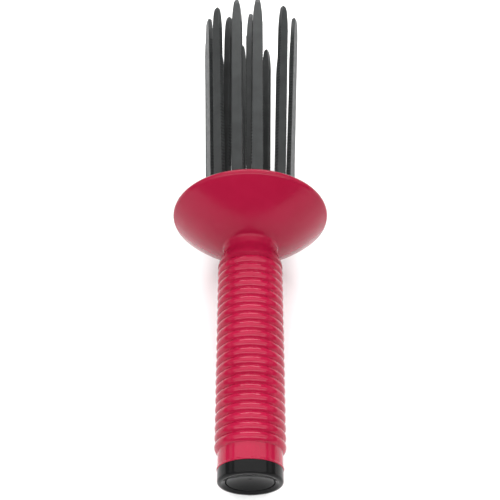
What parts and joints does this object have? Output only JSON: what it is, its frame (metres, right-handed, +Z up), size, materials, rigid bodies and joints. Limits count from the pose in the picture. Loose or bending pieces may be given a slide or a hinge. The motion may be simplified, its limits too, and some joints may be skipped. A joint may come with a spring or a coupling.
{
  "type": "claw comb",
  "caption": "Hand-held claw comb: ribbed round grip, saucer guard and a ring of long pointed tines that rock open when the end button is pressed.",
  "frame": {"origin": "middle of the floor rectangle under the tool as it lies on its guard's rim and its end ring", "axes": "+Y towards the tine tips, seen from above; +Z up; +X across the tool"},
  "size_m": [0.0738, 0.2604, 0.0827],
  "materials": {
    "crimson_plastic": "glossy moulded plastic",
    "black_plastic": "glossy moulded plastic",
    "charcoal_plastic": "satin moulded plastic",
    "natural_plastic": "plain bearing plastic",
    "steel": "bright drawn steel"
  },
  "bodies": {
    "grip": {"grip_sleeve": "crimson_plastic", "end_ring": "black_plastic", "rear_bush": "natural_plastic", "return_spring": "steel", "front_bush": "natural_plastic", "guard_dish": "crimson_plastic", "tine_hub": "charcoal_plastic", "pivot_pins": "steel", "front_cover": "crimson_plastic", "cover_screws": "steel", "inner_tine_1": "charcoal_plastic", "inner_tine_2": "charcoal_plastic", "inner_tine_3": "charcoal_plastic", "inner_tine_4": "charcoal_plastic"},
    "plunger": {"button_cap": "black_plastic", "push_rod": "steel", "spool": "natural_plastic", "spool_screw": "steel"},
    "rocker_01": {"outer_tine_01": "charcoal_plastic"},
    "rocker_02": {"outer_tine_02": "charcoal_plastic"},
    "rocker_03": {"outer_tine_03": "charcoal_plastic"},
    "rocker_04": {"outer_tine_04": "charcoal_plastic"},
    "rocker_05": {"outer_tine_05": "charcoal_plastic"},
    "rocker_06": {"outer_tine_06": "charcoal_plastic"},
    "rocker_07": {"outer_tine_07": "charcoal_plastic"},
    "rocker_08": {"outer_tine_08": "charcoal_plastic"},
    "rocker_09": {"outer_tine_09": "charcoal_plastic"},
    "rocker_10": {"outer_tine_10": "charcoal_plastic"},
    "rocker_11": {"outer_tine_11": "charcoal_plastic"},
    "rocker_12": {"outer_tine_12": "charcoal_plastic"}
  },
  "joints": [
    {"name": "button_press", "type": "slide", "parent": "grip", "child": "plunger", "axis": [0, 0.9846, 0.1751], "range_m": [0, 0.0032], "stiffness_N_per_m": 600, "springref_m": -0.004, "deforming": ["return_spring"]},
    {"name": "tine_01_rock", "type": "hinge", "parent": "grip", "child": "rocker_01", "pos_m": [-0.01859, 0.00238, 0.04439], "axis": [0.3907, -0.1612, 0.9063], "range_deg": [0, 13.97]},
    {"name": "tine_02_rock", "type": "hinge", "parent": "grip", "child": "rocker_02", "pos_m": [-0.01428, 0.00126, 0.05069], "axis": [0.7071, -0.1238, 0.6962], "range_deg": [0, 13.97]},
    {"name": "tine_03_rock", "type": "hinge", "parent": "grip", "child": "rocker_03", "pos_m": [-0.00591, 0.00038, 0.05564], "axis": [0.9563, -0.0512, 0.2879], "range_deg": [0, 13.97]},
    {"name": "tine_04_rock", "type": "hinge", "parent": "grip", "child": "rocker_04", "pos_m": [0.00316, 0.00027, 0.05627], "axis": [0.9877, 0.0274, -0.154], "range_deg": [0, 13.97]},
    {"name": "tine_05_rock", "type": "hinge", "parent": "grip", "child": "rocker_05", "pos_m": [0.01378, 0.00118, 0.05117], "axis": [0.7314, 0.1194, -0.6715], "range_deg": [0, 13.97]},
    {"name": "tine_06_rock", "type": "hinge", "parent": "grip", "child": "rocker_06", "pos_m": [0.01859, 0.00238, 0.04439], "axis": [0.3907, 0.1612, -0.9063], "range_deg": [0, 13.97]},
    {"name": "tine_07_rock", "type": "hinge", "parent": "grip", "child": "rocker_07", "pos_m": [0.01951, 0.00468, 0.03148], "axis": [-0.2588, 0.1691, -0.951], "range_deg": [0, 13.97]},
    {"name": "tine_08_rock", "type": "hinge", "parent": "grip", "child": "rocker_08", "pos_m": [0.01428, 0.00626, 0.02256], "axis": [-0.7071, 0.1238, -0.6962], "range_deg": [0, 13.97]},
    {"name": "tine_09_rock", "type": "hinge", "parent": "grip", "child": "rocker_09", "pos_m": [0.00523, 0.00718, 0.01741], "axis": [-0.9659, 0.0453, -0.2548], "range_deg": [0, 13.97]},
    {"name": "tine_10_rock", "type": "hinge", "parent": "grip", "child": "rocker_10", "pos_m": [-0.00523, 0.00718, 0.01741], "axis": [-0.9659, -0.0453, 0.2548], "range_deg": [0, 13.97]},
    {"name": "tine_11_rock", "type": "hinge", "parent": "grip", "child": "rocker_11", "pos_m": [-0.01428, 0.00626, 0.02256], "axis": [-0.7071, -0.1238, 0.6962], "range_deg": [0, 13.97]},
    {"name": "tine_12_rock", "type": "hinge", "parent": "grip", "child": "rocker_12", "pos_m": [-0.01951, 0.00468, 0.03148], "axis": [-0.2588, -0.1691, 0.951], "range_deg": [0, 13.97]}
  ],
  "couplings": [
    {"joint": "tine_01_rock", "follows": "button_press", "rad_per_m": 75.944},
    {"joint": "tine_02_rock", "follows": "button_press", "rad_per_m": 75.944},
    {"joint": "tine_03_rock", "follows": "button_press", "rad_per_m": 75.944},
    {"joint": "tine_04_rock", "follows": "button_press", "rad_per_m": 75.944},
    {"joint": "tine_05_rock", "follows": "button_press", "rad_per_m": 75.944},
    {"joint": "tine_06_rock", "follows": "button_press", "rad_per_m": 75.944},
    {"joint": "tine_07_rock", "follows": "button_press", "rad_per_m": 75.944},
    {"joint": "tine_08_rock", "follows": "button_press", "rad_per_m": 75.944},
    {"joint": "tine_09_rock", "follows": "button_press", "rad_per_m": 75.944},
    {"joint": "tine_10_rock", "follows": "button_press", "rad_per_m": 75.944},
    {"joint": "tine_11_rock", "follows": "button_press", "rad_per_m": 75.944},
    {"joint": "tine_12_rock", "follows": "button_press", "rad_per_m": 75.944}
  ]
}
